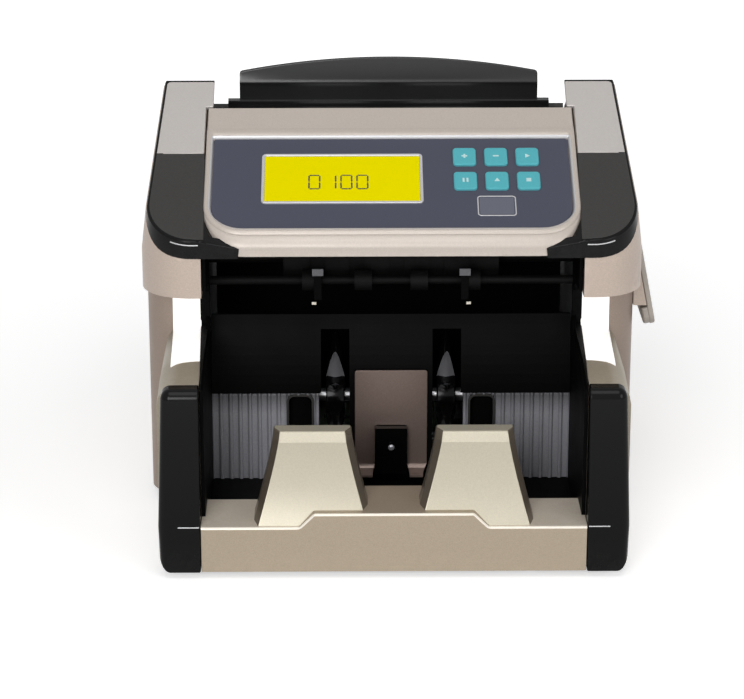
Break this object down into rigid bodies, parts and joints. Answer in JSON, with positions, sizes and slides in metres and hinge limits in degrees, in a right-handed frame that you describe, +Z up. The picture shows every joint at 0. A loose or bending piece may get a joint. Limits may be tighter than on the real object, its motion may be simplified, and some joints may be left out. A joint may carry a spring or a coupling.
{
  "type": "banknote counting machine",
  "caption": "Desktop banknote counter with a top hopper, a sloping control panel, an open front pocket with paddle wheels and two stop fingers, and a folding side handle.",
  "frame": {"origin": "middle of the overall box at its base, on the surface it stands on", "axes": "+Z up, the front with the pocket and the panel faces -Y, +X to the right of someone facing the front"},
  "size_m": [0.295, 0.314, 0.245],
  "materials": {
    "casing": "champagne metallic lacquer on moulded plastic, satin",
    "pale_plate": "pale champagne lacquer, satin",
    "gloss_black": "gloss",
    "dark_trim": "smoked gloss",
    "matt_black": "fine satin",
    "rib_grey": "satin",
    "panel_film": "fine matt film",
    "display_lens": "backlit gloss",
    "display_rim": "satin",
    "key": "satin",
    "sheet_metal": "brushed, bronze grey",
    "steel": "zinc plated",
    "rubber": "matt",
    "bronze": "sintered",
    "board": "solder mask",
    "handle_grey": "satin",
    "rocker_red": "gloss"
  },
  "bodies": {
    "casing": {"base_tray": "matt_black", "rubber_feet": "rubber", "left_side_cover": "casing", "right_side_cover": "casing", "left_cheek": "gloss_black", "right_cheek": "gloss_black", "front_bar": "casing", "left_finger": "casing", "right_finger": "casing", "head_cover": "casing", "control_panel": "panel_film", "display_frame": "display_rim", "display_window": "display_lens", "transformer": "steel", "left_top_plate": "pale_plate", "right_top_plate": "pale_plate", "left_dark_trim": "dark_trim", "right_dark_trim": "dark_trim", "pocket_back": "matt_black", "left_rib_guide": "rib_grey", "right_rib_guide": "rib_grey", "centre_plate": "sheet_metal", "stack_sensor": "gloss_black", "left_pocket_wall": "matt_black", "right_pocket_wall": "matt_black", "pocket_floor": "matt_black", "hopper_floor": "matt_black", "hopper_guard": "gloss_black", "rear_cover": "casing", "hinge_pins": "steel", "handle_boss": "casing", "screws": "steel", "left_frame": "steel", "right_frame": "steel", "tie_rods": "steel", "bearings": "bronze", "main_motor": "steel", "drive_belt": "rubber", "pickup_belt": "rubber", "stacker_belt": "rubber", "retard_block": "steel", "display_board": "board", "main_board": "board", "rear_sockets": "matt_black"},
    "feed_roller": {"feed_drum": "rubber"},
    "pickup": {"pickup_roller": "rubber"},
    "stacker": {"stacker_shaft": "steel", "paddle_wheels": "matt_black"},
    "motor_rotor": {"motor_pulley": "steel"},
    "exit_roller": {"exit_rollers": "steel"},
    "door": {"rear_door": "dark_trim"},
    "handle": {"carry_handle": "handle_grey"},
    "knob": {"adjusting_knob": "matt_black"},
    "rocker": {"power_rocker": "rocker_red"},
    "button_top_1": {"key_top_1": "key"},
    "button_top_2": {"key_top_2": "key"},
    "button_top_3": {"key_top_3": "key"},
    "button_low_1": {"key_low_1": "key"},
    "button_low_2": {"key_low_2": "key"},
    "button_low_3": {"key_low_3": "key"}
  },
  "joints": [
    {"name": "feed_spin", "type": "hinge", "parent": "casing", "child": "feed_roller", "pos_m": [-0.007, -0.025, 0.146], "axis": [1, 0, 0], "continuous": true},
    {"name": "pickup_spin", "type": "hinge", "parent": "casing", "child": "pickup", "pos_m": [-0.007, 0.02, 0.15], "axis": [1, 0, 0], "continuous": true},
    {"name": "stacker_spin", "type": "hinge", "parent": "casing", "child": "stacker", "pos_m": [-0.007, -0.03, 0.062], "axis": [1, 0, 0], "continuous": true},
    {"name": "motor_spin", "type": "hinge", "parent": "casing", "child": "motor_rotor", "pos_m": [-0.007, 0.075, 0.06], "axis": [1, 0, 0], "continuous": true},
    {"name": "exit_spin", "type": "hinge", "parent": "casing", "child": "exit_roller", "pos_m": [-0.007, -0.04708, 0.13796], "axis": [1, 0, 0], "continuous": true},
    {"name": "door_hinge", "type": "hinge", "parent": "casing", "child": "door", "pos_m": [-0.007, 0.1538, 0.14599], "axis": [-1, 0, 0], "range_deg": [0, 85]},
    {"name": "handle_hinge", "type": "hinge", "parent": "casing", "child": "handle", "pos_m": [0.13267, 0, 0.158], "axis": [0, -1, 0], "range_deg": [0, 90]},
    {"name": "gap_adjust", "type": "hinge", "parent": "casing", "child": "knob", "pos_m": [-0.007, -0.01441, 0.186], "axis": [0, 0, 1], "range_deg": [-180, 180]},
    {"name": "power_switch", "type": "hinge", "parent": "casing", "child": "rocker", "pos_m": [-0.041, 0.15, 0.044], "axis": [1, 0, 0], "range_deg": [0, 12]},
    {"name": "press_top_1", "type": "slide", "parent": "casing", "child": "button_top_1", "axis": [0, 0.4695, -0.8829], "range_m": [0, 0.001], "stiffness_N_per_m": 300, "springref_m": -0.0005},
    {"name": "press_top_2", "type": "slide", "parent": "casing", "child": "button_top_2", "axis": [0, 0.4695, -0.8829], "range_m": [0, 0.001], "stiffness_N_per_m": 300, "springref_m": -0.0005},
    {"name": "press_top_3", "type": "slide", "parent": "casing", "child": "button_top_3", "axis": [0, 0.4695, -0.8829], "range_m": [0, 0.001], "stiffness_N_per_m": 300, "springref_m": -0.0005},
    {"name": "press_low_1", "type": "slide", "parent": "casing", "child": "button_low_1", "axis": [0, 0.4695, -0.8829], "range_m": [0, 0.001], "stiffness_N_per_m": 300, "springref_m": -0.0005},
    {"name": "press_low_2", "type": "slide", "parent": "casing", "child": "button_low_2", "axis": [0, 0.4695, -0.8829], "range_m": [0, 0.001], "stiffness_N_per_m": 300, "springref_m": -0.0005},
    {"name": "press_low_3", "type": "slide", "parent": "casing", "child": "button_low_3", "axis": [0, 0.4695, -0.8829], "range_m": [0, 0.001], "stiffness_N_per_m": 300, "springref_m": -0.0005}
  ],
  "couplings": [
    {"joint": "pickup_spin", "follows": "feed_spin", "ratio": 1},
    {"joint": "stacker_spin", "follows": "feed_spin", "ratio": 0.61538},
    {"joint": "motor_spin", "follows": "feed_spin", "ratio": 2},
    {"joint": "exit_spin", "follows": "feed_spin", "ratio": -2.8333}
  ]
}
